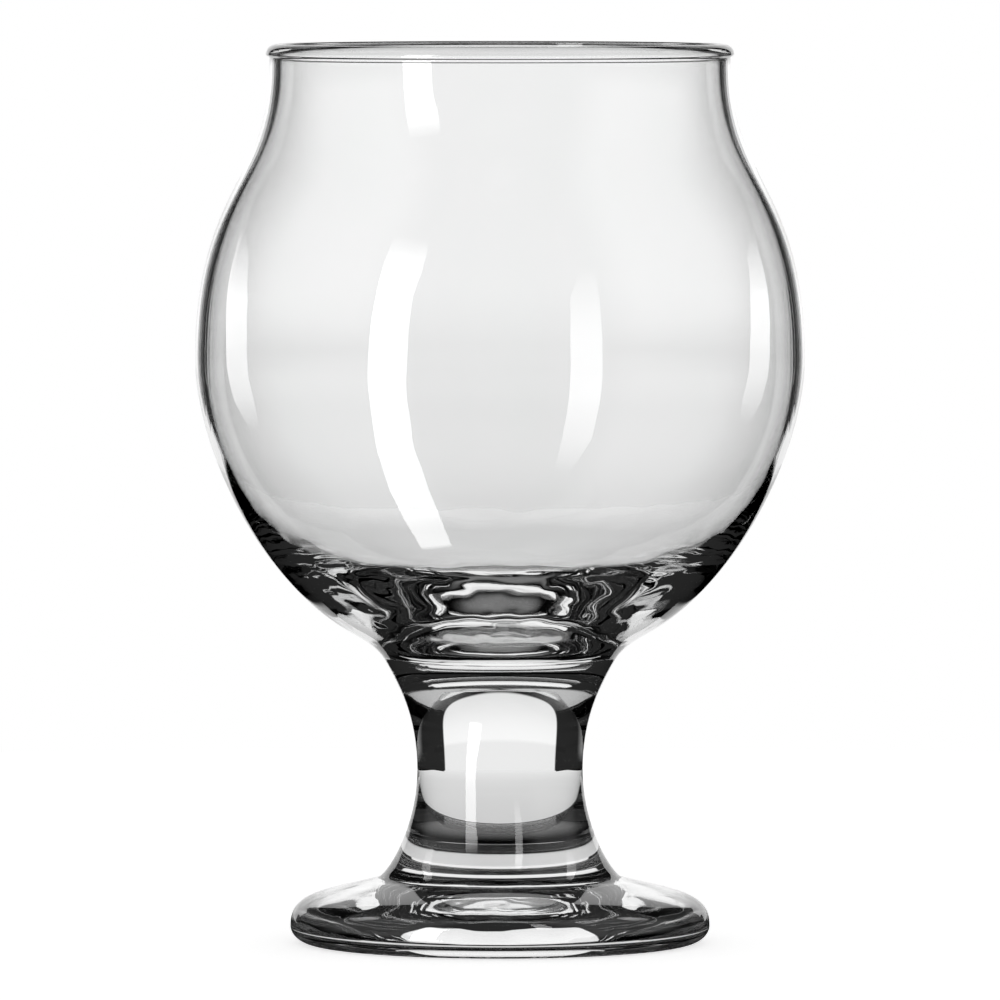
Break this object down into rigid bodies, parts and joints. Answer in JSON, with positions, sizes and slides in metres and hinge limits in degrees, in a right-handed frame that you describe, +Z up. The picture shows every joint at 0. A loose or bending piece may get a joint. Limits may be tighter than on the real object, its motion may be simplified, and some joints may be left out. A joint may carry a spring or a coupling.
{
  "type": "beer taster glass",
  "caption": "Short footed globe-shaped tasting glass of clear glass, with a drawn-in neck, lipped rim, heavy bowl root, solid waisted stem and round foot.",
  "frame": {"origin": "middle of the plane that the foot's resting ring stands on", "axes": "+Z up the axis of the glass, from the foot to the rim"},
  "size_m": [0.0672, 0.0672, 0.0992],
  "materials": {
    "clear_glass": "fire-polished"
  },
  "bodies": {
    "root": {"foot": "clear_glass", "stem": "clear_glass", "bowl": "clear_glass"}
  },
  "joints": []
}
